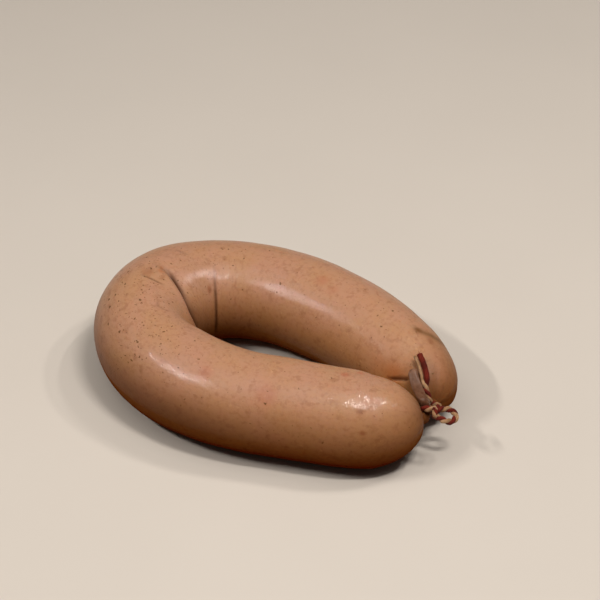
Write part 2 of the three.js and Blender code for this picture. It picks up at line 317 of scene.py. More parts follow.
# %% [markdown]
# ## The gathered ends and the unevenness of gut
#
# Where the twine draws an end together, the casing lies in gathers that run into the neck. Round the rear
# neck the filling ends in a soft lip. Gut is also never quite even: it is a little thicker here and
# thinner there. That unevenness is three sizes of noise, read at the place of each point before bending, so
# that it stretches on the outside of the bend and is squeezed on the inside, as the skin itself is.

# %% Gathers, lip and unevenness
LIP = {"at": 294.0, "depth": 0.7, "width": 2.6, "side": 34.0, "spread": 30.0}
GATHERS = {"count": 9, "depth": 0.34, "reach": 5.5, "full_from": 6.0}
FINE_GATHERS = {"count": 23, "depth": 0.12, "reach": 5.0, "wander": 0.7, "wave": 2.3}
UNEVENNESS = [{"size": 26.0, "height": 0.32}, {"size": 9.0, "height": 0.11}, {"size": 3.2, "height": 0.035}]
CALM_UNDER_RADIUS = 15.0


def lip(along, angle):
    turned = bell(np.degrees(angle) - LIP["side"], LIP["spread"])
    across = bell(along - LIP["at"], LIP["width"])
    return -LIP["depth"] * turned[None, :] * across[:, None]


def gathers(along, angle, radius):
    from_pole = np.minimum(along, TOTAL - along)[:, None]
    share = np.minimum(radius / GATHERS["full_from"], 1.0)[:, None]
    broad = GATHERS["depth"] * np.cos(GATHERS["count"] * angle) * np.exp(-from_pole / GATHERS["reach"])
    wander = FINE_GATHERS["wander"] * np.sin(from_pole / FINE_GATHERS["wave"])
    narrow = FINE_GATHERS["depth"] * np.cos(FINE_GATHERS["count"] * angle + wander)
    return (broad + narrow * np.exp(-from_pole / FINE_GATHERS["reach"])) * share


def straight_places(along, angle, radius):
    """Where each point would be, in mm, if the sausage were still straight."""
    x = np.broadcast_to(along[:, None], (len(along), len(angle)))
    return np.stack([x, radius[:, None] * np.cos(angle), radius[:, None] * np.sin(angle)], axis=-1)


def unevenness(places, radius):
    relief = np.zeros(places.shape[:2])
    calm = np.minimum(radius / CALM_UNDER_RADIUS, 1.0)
    for row, points in enumerate(places):
        for column, point in enumerate(points):
            place = Vector(point)
            relief[row, column] = calm[row] * sum(
                part["height"] * noise.noise(place / part["size"]) for part in UNEVENNESS
            )
    return relief


straight = straight_places(row_along, around, row_radius)
relief, crease_painted_shade = creases(row_along, around, row_radius)
relief += deep_fold(row_along, around, row_radius)
relief += hollow(row_along, around) + lip(row_along, around) + gathers(row_along, around, row_radius)
relief += unevenness(straight, row_radius)
print(f"relief from {relief.min():.2f} to {relief.max():.2f} mm")

# %% [markdown]
# ## Necks
#
# Beyond each dome the casing is drawn out to a thin neck that runs through the turn of twine. A neck bends
# in space, so its rows are carried along a smooth route: the direction across a row is turned just as much
# as the route turns, and never twists. The same two helpers serve the twine and the empty casing later.

# %% A smooth route through chosen points
ROUTE_SAMPLES = 40


def smooth_route(points, step):
    """A centripetal Catmull-Rom curve through the points, divided into even steps."""
    points = np.array(points, float)
    before = 2 * points[0] - points[1]
    after = 2 * points[-1] - points[-2]
    all_points = np.concatenate([[before], points, [after]])
    knots = np.concatenate([[0.0], np.cumsum(np.linalg.norm(np.diff(all_points, axis=0), axis=1) ** 0.5)])
    dense = []
    for here in range(1, len(all_points) - 2):
        at = np.linspace(knots[here], knots[here + 1], ROUTE_SAMPLES)[:, None]
        lines = [
            mix(all_points[one], all_points[one + 1], knots[one], knots[one + 1], at)
            for one in (here - 1, here, here + 1)
        ]
        bends = [
            mix(lines[one], lines[one + 1], knots[here - 1 + one], knots[here + 1 + one], at)
            for one in (0, 1)
        ]
        dense.append(mix(bends[0], bends[1], knots[here], knots[here + 1], at))
    dense = np.concatenate(dense)
    way = np.concatenate([[0.0], np.cumsum(np.linalg.norm(np.diff(dense, axis=0), axis=1))])
    count = max(int(round(way[-1] / step)), 2)
    even = np.linspace(0.0, way[-1], count + 1)
    route = np.stack([np.interp(even, way, dense[:, axis]) for axis in range(3)], axis=-1)
    return route, even


def mix(from_value, to_value, from_at, to_at, at):
    return (from_value * (to_at - at) + to_value * (at - from_at)) / (to_at - from_at)


print("a route has", ROUTE_SAMPLES, "samples between two of its points")

# %% Directions carried along a route
def carried(route, first_side):
    """Side and up directions at each point of a route, turned with it but never twisted."""
    tangents = np.gradient(route, axis=0)
    tangents /= np.linalg.norm(tangents, axis=1)[:, None]
    side = np.array(first_side, float)
    sides = []
    for tangent in tangents:
        side = side - tangent * side.dot(tangent)
        side /= np.linalg.norm(side)
        sides.append(side)
    sides = np.array(sides)
    return sides, np.cross(tangents, sides)


FRONT_NECK = [(60.7, -40.1, 17.8), (61.7, -39.1, 18.6), (61.9, -38.1, 20.6)]
SLEEVE_ROUTE = [
    (61.3, -38.1, 23.3),
    (59.8, -37.6, 24.8),
    (58.5, -34.2, 24.9),
    (57.5, -29.4, 25.8),
    (56.4, -25.2, 28.3),
    (56.0, -23.8, 29.5),
]
REAR_NECK = [
    (63.9, -32.6, 16.2),
    (63.6, -35.4, 17.2),
    (63.3, -36.4, 19.3),
    (63.3, -36.5, 20.8),
]
NECK_STEP = 0.35
FRONT_NECK_LENGTH = 9.0
CONE_FADES_OVER = 2.4
NECK_TIP_LENGTH = 1.5 * NECK_RADIUS


def neck_rows(pole, inward, route_points, turn, length=None):
    """Rows from a pole along a neck; turn is 1 where it leads back from the walk, -1 where it leads on."""
    route, way = smooth_route([pole, *route_points], NECK_STEP)
    sides, ups = carried(route, inward)
    rows = {"centre": route[1:], "side": sides[1:], "up": turn * ups[1:], "way": way[1:]}
    if length is not None:
        rows = {name: values[way[1:] <= length] for name, values in rows.items()}
    cone = (POLE_RADIUS - NECK_RADIUS) * bell(rows["way"], CONE_FADES_OVER)
    closing = dome(rows["way"][-1] - rows["way"], NECK_TIP_LENGTH, ROUND_END)
    rows["radius"] = (NECK_RADIUS + cone) * closing
    return rows


whole_front = [*FRONT_NECK, *SLEEVE_ROUTE]
front_neck = neck_rows(row_centre[0], row_inward[0], whole_front, 1.0, FRONT_NECK_LENGTH)
rear_neck = neck_rows(row_centre[-1], row_inward[-1], REAR_NECK, -1.0)
print(f"necks {front_neck['way'][-1]:.1f} and {rear_neck['way'][-1]:.1f} mm long")

# %% [markdown]
# ## Putting the casing together
#
# Where the two arms lie against each other, each is pressed flat on the plane between them. The twine
# dents the necks, and the table flattens the underside. All three are the same idea: a point that would
# lie beyond a surface is moved back onto it.

# %% Pressing, denting and resting
TWINE_DIAMETER = 2.5
TIE = {"centre": np.array([62.6, -37.3, 20.9]), "radius": 3.6, "tilt": math.radians(25)}
TIE_AXIS = np.array([0.0, math.sin(TIE["tilt"]), math.cos(TIE["tilt"])])
ARMS = {"front_to": 95.0, "rear_from": 215.0, "gap": 0.4}
CLEARANCE = 0.5
ALMOST_NOTHING = 1e-9


def pressed(rows, others, offsets):
    """Shortens the offsets of some rows where they would pass the plane between the arms."""
    for row in rows:
        gaps = row_centre[others] - row_centre[row]
        power = (gaps**2).sum(axis=1) - row_radius[others] ** 2
        nearest = others[int(np.argmin(power))]
        across = row_centre[nearest] - row_centre[row]
        distance = np.linalg.norm(across)
        plane = (distance**2 + row_radius[row] ** 2 - row_radius[nearest] ** 2) / (2 * distance)
        plane -= ARMS["gap"] / 2
        reach = offsets[row] @ across / distance
        beyond_plane = (reach > plane) & (plane > 0)
        offsets[row][beyond_plane] *= (plane / reach[beyond_plane])[:, None]


def clear_of_tie(points):
    outward = points - TIE["centre"]
    outward -= (outward @ TIE_AXIS)[..., None] * TIE_AXIS
    outward /= np.maximum(np.linalg.norm(outward, axis=-1, keepdims=True), ALMOST_NOTHING)
    core = TIE["centre"] + outward * TIE["radius"]
    away = points - core
    distance = np.linalg.norm(away, axis=-1, keepdims=True)
    least = TWINE_DIAMETER / 2 + CLEARANCE
    moved = core + away * (least / np.maximum(distance, ALMOST_NOTHING))
    return np.where(distance < least, moved, points)


filled_radius = row_radius[:, None] + relief
offsets = (filled_radius * np.cos(around))[..., None] * row_inward[:, None]
offsets += (filled_radius * np.sin(around))[..., None] * row_upward[:, None]
front_arm = np.flatnonzero(row_along < ARMS["front_to"])
rear_arm = np.flatnonzero(row_along > ARMS["rear_from"])
pressed(front_arm, rear_arm, offsets)
pressed(rear_arm, front_arm, offsets)
filled_points = row_centre[:, None] + offsets
print("rows that may press on each other:", len(front_arm), "and", len(rear_arm))

# %% The rings of the whole casing, from the front neck's tip to the rear neck's tip
def neck_points(neck):
    across = neck["side"][:, None] * np.cos(around)[None, :, None]
    upward = neck["up"][:, None] * np.sin(around)[None, :, None]
    return neck["centre"][:, None] + neck["radius"][:, None, None] * (across + upward)


def neck_straight(neck, pole_along, sign):
    along = pole_along + sign * neck["way"]
    return straight_places(along, around, neck["radius"])


rings = np.concatenate([neck_points(front_neck)[::-1], filled_points, neck_points(rear_neck)])
rings = clear_of_tie(rings)
rings[..., 2] = np.maximum(rings[..., 2], 0.0)
straight_rings = np.concatenate(
    [neck_straight(front_neck, 0.0, -1.0)[::-1], straight, neck_straight(rear_neck, TOTAL, 1.0)]
)
print("rings:", len(rings), "of", AROUND, "points")


# %% From rings to a mesh object
def with_ends(values):
    """The rings' values in one list, and after them the means of the first and the last ring."""
    return np.concatenate([values.reshape(-1, 3), [values[0].mean(axis=0)], [values[-1].mean(axis=0)]])


def ring_mesh(name, rings_mm, places=None):
    """Joins rings of points to one closed tube, with a point in the middle of either end."""
    count, sides = rings_mm.shape[:2]
    first = count * sides
    last = first + 1
    last_ring = first - sides
    faces = []
    for row in range(count - 1):
        for side in range(sides):
            after = (side + 1) % sides
            low, high = row * sides, (row + 1) * sides
            faces.append((low + side, high + side, high + after, low + after))
    for side in range(sides):
        after = (side + 1) % sides
        faces.append((first, side, after))
        faces.append((last, last_ring + after, last_ring + side))
    mesh = bpy.data.meshes.new(name)
    mesh.from_pydata((with_ends(rings_mm) * MM).tolist(), [], faces)
    if places is not None:
        straight_at = mesh.attributes.new("straight", "FLOAT_VECTOR", "POINT")
        straight_at.data.foreach_set("vector", with_ends(places).ravel())
    mesh.shade_smooth()
    piece = bpy.data.objects.new(name, mesh)
    bpy.context.scene.collection.objects.link(piece)
    return piece


casing = ring_mesh("filled_casing", rings, places=straight_rings)
print("filled casing:", len(casing.data.polygons), "faces")

# %% [markdown]
# ## The empty end of the casing
#
# Beyond the tie the gut holds no filling. It is a flat, wet, tan sleeve that lies up against the rear
# end. It is made as its own piece, because it lets light through where the filled casing does not. Its rows
# follow the same route as the front neck, start inside the turn of twine, open out and end in a round tip.

# %% Sleeve
SLEEVE = {"radius": 2.0, "flatness": 0.5, "starts": 5.4, "opens": 3.2, "tip": 2.4, "foot": 0.8}
SLEEVE_PLEATS = {"count": 3, "depth": 0.16, "lean": 0.12}


def smoothly(share):
    """From 0 to 1 without a corner at either end."""
    share = np.clip(share, 0.0, 1.0)
    return share * share * (3.0 - 2.0 * share)


def sleeve_rings():
    rows = neck_rows(row_centre[0], row_inward[0], whole_front, 1.0)
    length = rows["way"][-1]
    kept = rows["way"] >= SLEEVE["starts"]
    way = rows["way"][kept]
    opening = smoothly((way - SLEEVE["starts"]) / SLEEVE["opens"])
    wide = NECK_RADIUS + (SLEEVE["radius"] - NECK_RADIUS) * opening
    wide = wide * dome(length - way, SLEEVE["tip"], ROUND_END)
    wide = wide * dome(way - way[0], SLEEVE["foot"], ROUND_END)
    flat = 1.0 + (SLEEVE["flatness"] - 1.0) * opening
    lean = around[None, :] + SLEEVE_PLEATS["lean"] * way[:, None]
    pleats = SLEEVE_PLEATS["depth"] * np.cos(SLEEVE_PLEATS["count"] * lean) * wide[:, None]
    reach = wide[:, None] + pleats * opening[:, None]
    side = rows["side"][kept][:, None] * (reach * flat[:, None] * np.cos(around))[..., None]
    up = rows["up"][kept][:, None] * (reach * np.sin(around))[..., None]
    return rows["centre"][kept][:, None] + side + up


sleeve = ring_mesh("empty_casing", sleeve_rings())
print("sleeve:", [round(value / MM, 1) for value in sleeve.dimensions])

# %% [markdown]
# ## Butcher's twine
#
# The twine is two plies, one dark red and one cream, laid round each other. On the loop one colour follows
# the other every 2.7 mm, so a full turn of the lay is 5.4 mm. Each ply is swept as a round strand whose
# centre circles the twine's own route, and its surface carries the twist of its yarns. A bump map of
# stripes on one plain tube would be quicker, but its outline would stay smooth, and it is the outline that
# says "twisted". Along the free end the lay opens, the plies part and the red one fluffs up.

# %% One ply along a route
LAY = 5.4
HAND = -1.0
PLY = {"radius": 0.84, "off_centre": 0.5, "around": 18, "step": 0.22, "end": 0.5, "least": 0.05}
YARNS = {"count": 4, "depth": 0.045, "lay": 2.6}


def ply_rings(route, way, first_side, turned, radius, off_centre):
    """Rings of one ply; radius and off_centre are shares of the ply's own sizes, one for each row."""
    sides, ups = carried(route, first_side)
    radius = PLY["radius"] * radius
    out = np.cos(turned)[:, None] * sides + np.sin(turned)[:, None] * ups
    centre = route + (PLY["off_centre"] * off_centre)[:, None] * out
    own_sides, own_ups = carried(centre, out[0])
    turns = np.linspace(0.0, 2 * math.pi, PLY["around"], endpoint=False)
    yarns = np.cos(YARNS["count"] * turns[None, :] - 2 * math.pi * way[:, None] / YARNS["lay"])
    ends = dome(way - way[0], PLY["end"], ROUND_END) * dome(way[-1] - way, PLY["end"], ROUND_END)
    reach = (radius[:, None] + YARNS["depth"] * yarns) * np.maximum(ends, PLY["least"])[:, None]
    across = own_sides[:, None] * (reach * np.cos(turns))[..., None]
    upward = own_ups[:, None] * (reach * np.sin(turns))[..., None]
    twist = 2 * math.pi * way[:, None] / YARNS["lay"] / YARNS["count"]
    untwisted = turns[None, :] - twist
    lengthwise = np.broadcast_to(way[:, None], untwisted.shape)
    crosswise = PLY["radius"] * np.stack([np.cos(untwisted), np.sin(untwisted)], axis=-1)
    places = np.concatenate([lengthwise[..., None], crosswise], axis=-1)
    return centre[:, None] + across + upward, places


print("widest across both plies:", round(2 * (PLY["radius"] + PLY["off_centre"]), 2), "mm")

# %% The four stretches of twine
KNOT = {"centre": np.array([64.4, -42.0, 21.6]), "radius": 1.4, "share": 0.9}
PHASES = {"tie": 2.8, "knot": 1.6, "loop": 4.75, "free_end": 4.42}
FIRST_SIDES = {"tie": (0, 0, 1), "knot": (1, 0, 0), "loop": (0, 0, 1), "free_end": (1, 0, 0)}
FREE_END = [
    (62.8, -34.1, 19.8),
    (62.5, -33.9, 21.9),
    (61.9, -32.8, 23.4),
    (61.3, -31.0, 24.2),
    (61.0, -28.7, 25.8),
    (60.5, -26.0, 28.4),
    (59.4, -22.8, 31.1),
    (57.8, -19.5, 33.3),
]
LOOP = [
    (63.2, -41.7, 21.9),
    (66.6, -40.2, 21.8),
    (69.5, -39.2, 21.2),
    (71.8, -40.2, 20.8),
    (72.9, -42.7, 20.3),
    (71.6, -44.9, 19.8),
    (69.2, -45.2, 19.8),
    (66.9, -44.1, 20.2),
    (63.6, -42.6, 21.2),
]


def circle(centre, radius, start, first_axis, second_axis):
    """A full turn that starts and ends at the angle start, in the plane of two axes."""
    count = int(round(2 * math.pi * radius / PLY["step"]))
    turns = start + np.linspace(0.0, 2 * math.pi, count + 1)
    first = np.cos(turns)[:, None] * np.array(first_axis, float)
    second = np.sin(turns)[:, None] * np.array(second_axis, float)
    route = centre + radius * (first + second)
    return route, radius * (turns - start)


def whole_lay(way):
    """The lay of a closed turn: a whole number of turns, so that its ends meet."""
    turns = max(round(way[-1] / LAY), 1)
    return 2 * math.pi * turns * way / way[-1]


def twine_stretches():
    """The route of each stretch, and the way along it."""
    knot_side = math.atan2(KNOT["centre"][1] - TIE["centre"][1], KNOT["centre"][0] - TIE["centre"][0])
    across_tie = np.cross(TIE_AXIS, (1, 0, 0))
    return {
        "tie": circle(TIE["centre"], TIE["radius"], knot_side, (1, 0, 0), across_tie),
        "knot": circle(KNOT["centre"], KNOT["radius"], math.pi / 2, (0, 1, 0), (0, 0, 1)),
        "loop": smooth_route(LOOP, PLY["step"]),
        "free_end": smooth_route(FREE_END, PLY["step"]),
    }


stretches = twine_stretches()
lengths = {name: round(float(way[-1]), 1) for name, (_, way) in stretches.items()}
print("twine in mm:", lengths, "in all", round(sum(lengths.values()), 1))

# %% [markdown]
# The free end opens after its first third: the turn of the lay slows down to nothing and the plies stand
# apart. The red one fluffs up, because nothing squeezes it any more, and the cream one is drawn thin. The
# ends of both are frayed: a dozen fibres spread from each. Real fibres are 0.02 mm thick; these are 0.16 mm,
# or they would not show at all.

# %% The opened end and its frayed fibres
OPENED = {"from": 6.85, "over": 5.0, "apart": 1.1, "red_share": 1.4, "cream_share": 0.75}
FRAY = {"count": 12, "length": 2.2, "shares": (0.5, 1.1), "spread": 0.6}
FRAY_ROOT = {"scatter": 0.25, "inside": 0.5}
FRAY_BEND = {"at": 0.55, "lean": 0.5}
FRAY_FORWARD = 0.8
fray_draw = np.random.default_rng(7)


def opened_share(way):
    return smoothly((way - OPENED["from"]) / OPENED["over"])


def slowing_lay(way):
    pace = (2 * math.pi / LAY) * (1.0 - opened_share(way))
    return np.concatenate([[0.0], np.cumsum(np.diff(way) * pace[1:])])


def frayed(centre, direction):
    """The routes of thin fibres that spread from the end of a ply."""
    fibres = []
    for _ in range(FRAY["count"]):
        lean = fray_draw.normal(0.0, FRAY["spread"], 3)
        length = FRAY["length"] * fray_draw.uniform(*FRAY["shares"])
        scatter = fray_draw.normal(0.0, FRAY_ROOT["scatter"], 3)
        start = centre + scatter - direction * FRAY_ROOT["inside"]
        bend = start + (direction + lean * FRAY_BEND["lean"]) * length * FRAY_BEND["at"]
        end = start + (direction * FRAY_FORWARD + lean) * length
        fibres.append(np.array([start, bend, end]))
    return fibres


print("the lay opens over", OPENED["over"], "mm")

# %% Fibres as thin tapering tubes
FIBRE = {"radius": 0.08, "tip_share": 0.15, "around": 6, "step": 0.15, "first_side": (0.3, 0.2, 1.0)}
TIP_RING = -4
RING_BEFORE_TIP = -12


def fibre_pieces(name, ply):
    """The fibres at the tip of a ply, which is given by its rings."""
    tip = ply[TIP_RING].mean(axis=0)
    direction = tip - ply[RING_BEFORE_TIP].mean(axis=0)
    direction /= np.linalg.norm(direction)
    turns = np.linspace(0.0, 2 * math.pi, FIBRE["around"], endpoint=False)
    pieces = []
    for number, fibre in enumerate(frayed(tip, direction)):
        route, way = smooth_route(fibre, FIBRE["step"])
        sides, ups = carried(route, FIBRE["first_side"])
        reach = FIBRE["radius"] * np.sqrt(np.linspace(1.0, FIBRE["tip_share"], len(way)))
        across = sides[:, None] * (reach[:, None] * np.cos(turns))[..., None]
        upward = ups[:, None] * (reach[:, None] * np.sin(turns))[..., None]
        places = straight_places(way, turns, reach)
        pieces.append(ring_mesh(f"{name}_fibre_{number}", route[:, None] + across + upward, places))
    return pieces


print(FRAY["count"], "fibres on each ply,", 2 * FIBRE["radius"], "mm thick")


# %% Both plies
def lay_along(stretch_name, way):
    """How far the plies have turned round each other at each point of the way."""
    if stretch_name in ("tie", "knot"):
        return whole_lay(way)
    if stretch_name == "free_end":
        return slowing_lay(way)
    return 2 * math.pi * way / LAY


def ply_of(name, phase, thickness):
    parts = []
    for stretch_name, (route, way) in stretches.items():
        opened = opened_share(way) if stretch_name == "free_end" else 0.0 * way
        tight = KNOT["share"] if stretch_name == "knot" else 1.0
        turned = PHASES[stretch_name] + phase + HAND * lay_along(stretch_name, way)
        radius = tight * (1.0 + (thickness - 1.0) * opened)
        off_centre = tight * (1.0 + OPENED["apart"] * opened)
        ply, places = ply_rings(route, way, FIRST_SIDES[stretch_name], turned, radius, off_centre)
        parts.append(ring_mesh(f"{name}_{stretch_name}", ply, places))
    return joined(name, parts + fibre_pieces(name, ply))


def joined(name, parts):
    """One object from several, in the place of the first."""
    with bpy.context.temp_override(active_object=parts[0], selected_editable_objects=parts):
        bpy.ops.object.join()
    parts[0].name = parts[0].data.name = name
    return parts[0]


red_ply = ply_of("red_ply", 0.0, OPENED["red_share"])
cream_ply = ply_of("cream_ply", math.pi, OPENED["cream_share"])
print("plies:", len(red_ply.data.polygons), "and", len(cream_ply.data.polygons), "faces")

# %% [markdown]
# ## Materials: the helpers
#
# Colours are written as sRGB hex, as a paint chart or a photo editor gives them, and one function turns
# them to the linear numbers that the shader computes with. One more function adds a node with its settings
# and its links, so that a material reads like a recipe.

# %% Colour and node helpers
def linear(hex_colour):
    """The linear light of an sRGB colour, by the curve of the sRGB standard."""
    channels = [int(hex_colour[first : first + 2], 16) / 255.0 for first in (0, 2, 4)]
    curved = [c / 12.92 if c <= 0.04045 else ((c + 0.055) / 1.055) ** 2.4 for c in channels]
    return (*curved, 1.0)


def add(tree, kind, inputs=None, **settings):
    """Adds a node; an input is given a value, or a socket that it is linked to."""
    node = tree.nodes.new(kind)
    for name, value in settings.items():
        setattr(node, name, value)
    for name, value in (inputs or {}).items():
        if isinstance(value, bpy.types.NodeSocket):
            tree.links.new(value, node.inputs[name])
        else:
            node.inputs[name].default_value = value
    return node


def new_material(name):
    material = bpy.data.materials.new(name)
    material.use_nodes = True
    tree = material.node_tree
    tree.nodes.clear()
    return material, tree


def surfaced(material, tree, inputs):
    """The material, with one surface shader that has the given inputs."""
    shader = add(tree, "ShaderNodeBsdfPrincipled", inputs)
    add(tree, "ShaderNodeOutputMaterial", {"Surface": shader.outputs[0]})
    return material


def blended(tree, share, from_colour, to_colour, blend="MIX"):
    """A colour between two, by a share; each may be a hex colour or a socket."""
    colours = [linear(c) if isinstance(c, str) else c for c in (from_colour, to_colour)]
    mixer = add(tree, "ShaderNodeMix", data_type="RGBA", blend_type=blend)
    for socket, value in zip((mixer.inputs[0], mixer.inputs[6], mixer.inputs[7]), (share, *colours)):
        if isinstance(value, bpy.types.NodeSocket):
            tree.links.new(value, socket)
        else:
            socket.default_value = value
    return mixer.outputs[2]


print("mid grey in linear light:", [round(c, 3) for c in linear("808080")])

# %% Noise, ranges, products and bumps
def noise_at(tree, places, size_mm, detail=2.0, roughness=0.5):
    texture = add(
        tree,
        "ShaderNodeTexNoise",
        {"Vector": places, "Scale": 1.0 / size_mm, "Detail": detail, "Roughness": roughness},
    )
    return texture.outputs["Fac"]


def ranged(tree, value, low, high, to_low=0.0, to_high=1.0):
    node = add(
        tree,
        "ShaderNodeMapRange",
        {"Value": value, "From Min": low, "From Max": high, "To Min": to_low, "To Max": to_high},
        interpolation_type="SMOOTHSTEP",
    )
    return node.outputs[0]


def linear_range(tree, value, low, high, to_low, to_high):
    inputs = {"Value": value, "From Min": low, "From Max": high, "To Min": to_low, "To Max": to_high}
    return add(tree, "ShaderNodeMapRange", inputs).outputs[0]


def product(tree, first, second):
    return add(tree, "ShaderNodeMath", {0: first, 1: second}, operation="MULTIPLY").outputs[0]


def mark(tree, name):
    return add(tree, "ShaderNodeAttribute", attribute_name=name).outputs["Fac"]


def drawn_noise(tree, places, size_mm, stretch, detail=2.0, roughness=0.5):
    """Noise that is drawn out, by the lengthwise and crosswise shares of stretch."""
    drawn = add(tree, "ShaderNodeVectorMath", {0: places, 1: stretch}, operation="MULTIPLY")
    return noise_at(tree, drawn.outputs[0], size_mm, detail, roughness)


def bump(tree, heights, height_mm, **below):
    """A bump of a height in mm; below may name the Normal that it lies on."""
    inputs = {"Height": heights, "Strength": 1.0, "Distance": height_mm * MM, **below}
    return add(tree, "ShaderNodeBump", inputs).outputs[0]


print("a pattern 2 mm wide is noise at a scale of", 1.0 / 2.0, "per mm")

# %% [markdown]
# ## Boiled natural casing
#
# The casing is a thin, see-through membrane over a pale, fine-grained meat filling. It was boiled, so it is
# tight and moist. Three things make it look real. Light enters it and comes out again nearby, which is
# subsurface scattering. A thin film of water and fat lies on its top, in wetter fields and small bits,
# which is a coat with a low roughness over a duller skin. And its colour is never one colour: pinker and
# yellower fields a thumb wide, a grain of lean and fat a millimetre or two across, and pepper specks that
# shine through.
#
# The patterns are read from the "straight" places that the mesh carries, in millimetres, so each scale
# below is simply one over a real size.

# %% Where the spots of this sausage lie
PEPPER_FIELDS = [
    {"at": (135.0, 105.0), "size": (26.0, 70.0), "share": 0.75},
    {"at": (108.0, 110.0), "size": (20.0, 50.0), "share": 0.35},
    {"at": (178.0, 60.0), "size": (16.0, 45.0), "share": 0.3},
]
EVEN_PEPPER = 0.09
# Fields of painted shade: the left flank of the bend, the outer side of the rear arm, the rear end and the
# front neck are darkened
SHADE_PAINTED_FIELDS = [
    {"at": (118.0, 174.0), "size": (38.0, 30.0), "share": 0.38},
    {"at": (88.0, 176.0), "size": (26.0, 24.0), "share": 0.3},
    {"at": (236.0, 172.0), "size": (60.0, 26.0), "share": 0.25},
    {"at": (312.0, 130.0), "size": (11.0, 150.0), "share": 0.5},
    {"at": (-6.0, 150.0), "size": (9.0, 170.0), "share": 0.9},
]
# Fields where the painted shade of the lower flanks is weaker, so the inner side near the rear end stays
# lighter
SHADE_LIFTED_FIELDS = [
    {"at": (284.0, 18.0), "size": (56.0, 44.0), "share": 0.9},
    {"at": (244.0, 30.0), "size": (30.0, 34.0), "share": 0.35},
    {"at": (92.0, 150.0), "size": (26.0, 26.0), "share": 0.3},
]
EVEN_WET = 0.22
WET_FIELDS = [
    {"at": (20.0, 118.0), "size": (26.0, 50.0), "share": 0.8},
    {"at": (100.0, 128.0), "size": (24.0, 40.0), "share": 0.85},
    {"at": (171.0, 55.0), "size": (14.0, 40.0), "share": 0.8},
    {"at": (214.0, 50.0), "size": (24.0, 42.0), "share": 0.8},
    {"at": (291.0, 38.0), "size": (7.0, 20.0), "share": 0.8},
]
SPOTS = {
    "brown_spot": [
        {"at": (175.6, 38.0), "size": 1.7, "strength": 0.6},
        {"at": (24.4, 130.0), "size": 1.3, "strength": 0.55},
        {"at": (23.4, 155.0), "size": 1.1, "strength": 0.6},
        {"at": (147.0, 92.0), "size": 2.6, "strength": 0.35},
        {"at": (186.0, 75.0), "size": 1.0, "strength": 0.5},
        {"at": (285.0, 112.0), "size": 1.6, "strength": 0.5},
        {"at": (279.6, 104.5), "size": 1.4, "strength": 0.6},
    ],
    # The first two are painted warm light bounced between the arms near the lip crease; the last two are
    # amber bits in the filling
    "amber_bits_and_painted_bounce": [
        {"at": (288.0, 33.0), "size": 5.0, "strength": 0.6},
        {"at": (280.0, 26.0), "size": 4.5, "strength": 0.2},
        {"at": (150.5, 80.0), "size": 1.6, "strength": 0.6},
        {"at": (153.5, 84.0), "size": 1.2, "strength": 0.5},
    ],
    "red_spot": [
        {"at": (232.9, 80.0), "size": 3.0, "strength": 0.3},
        {"at": (240.0, 74.0), "size": 2.4, "strength": 0.2},
        {"at": (31.5, 80.0), "size": 1.8, "strength": 0.55},
        {"at": (25.4, 68.0), "size": 1.7, "strength": 0.45},
        {"at": (84.0, 118.0), "size": 3.0, "strength": 0.3},
        {"at": (60.0, 128.0), "size": 4.5, "strength": 0.3},
    ],
}
SPOT_STEEPNESS = 1.5
VEIN_PATH = [(279.0, 103.0), (281.0, 109.0), (282.4, 119.0), (283.6, 130.0), (284.0, 142.0)]
VEIN = {"path": VEIN_PATH, "width": 1.7, "share": 0.62}
print(sum(len(places) for places in SPOTS.values()), "spots besides the vein")

# %% Marks on the points of the casing
all_along = straight_rings[..., 0]
all_angle = np.arctan2(straight_rings[..., 2], straight_rings[..., 1])
all_radius = np.hypot(straight_rings[..., 1], straight_rings[..., 2])


def field_share(even, fields):
    """An even share, and more of it in wide fields of the casing."""
    share = np.full(all_along.shape, even)
    for field in fields:
        across = bell(all_along - field["at"][0], field["size"][0])
        turned = bell(turned_from(all_angle, field["at"][1]), field["size"][1])
        share += field["share"] * across * turned
    return share


def spots(places):
    """The strength of round spots with rather sharp rims."""
    strength = np.zeros(all_along.shape)
    for place in places:
        across = all_along - place["at"][0]
        turned = np.radians(turned_from(all_angle, place["at"][1])) * all_radius
        away = (across**2 + turned**2) / place["size"] ** 2
        strength += place["strength"] * np.exp(-(away**SPOT_STEEPNESS))
    return np.clip(strength, 0.0, 1.0)


def on_whole_casing(filled_values):
    """Values of the filled rows, with nothing on the necks."""
    values = np.zeros(straight_rings.shape[:2])
    first = len(front_neck["way"])
    values[first : first + FILLED_ROWS] = filled_values
    return values


def vein():
    away, _ = path_distance(row_along, around, row_radius, VEIN["path"])
    return on_whole_casing(VEIN["share"] * bell(away, VEIN["width"]))


def mark_points(piece, name, values):
    ends = [values[0].mean(), values[-1].mean()]
    attribute = piece.data.attributes.new(name, "FLOAT", "POINT")
    attribute.data.foreach_set("value", np.concatenate([values.ravel(), ends]))


mark_points(casing, "pepper", field_share(EVEN_PEPPER, PEPPER_FIELDS))
mark_points(casing, "painted_shade_fields", field_share(0.0, SHADE_PAINTED_FIELDS))
# Where the painted shade of the lower flanks applies
mark_points(casing, "shaded", 1.0 - field_share(0.0, SHADE_LIFTED_FIELDS))
mark_points(casing, "wet", np.clip(field_share(EVEN_WET, WET_FIELDS), 0.0, 1.0))
mark_points(casing, "vein", vein())
mark_points(casing, "crease", on_whole_casing(crease_painted_shade))
for kind, places in SPOTS.items():
    mark_points(casing, kind, spots(places))
print("marks on the casing:", [one.name for one in casing.data.attributes if one.data_type == "FLOAT"])

# %% [markdown]
# Pepper and herb specks are scattered with a Voronoi texture. It divides space into cells, one point in
# each. The distance to that point draws a round speck, and the cell's random colour decides whether there
# is a speck at all and how large it is. The mesh's "pepper" mark says how many cells have one.

# %% Specks in cells
SMALLEST_SPECK = 0.35
SPECK_RIM_FROM = 0.55
PUSH_SCALE = 1.1
PUSH_MM = 1.6


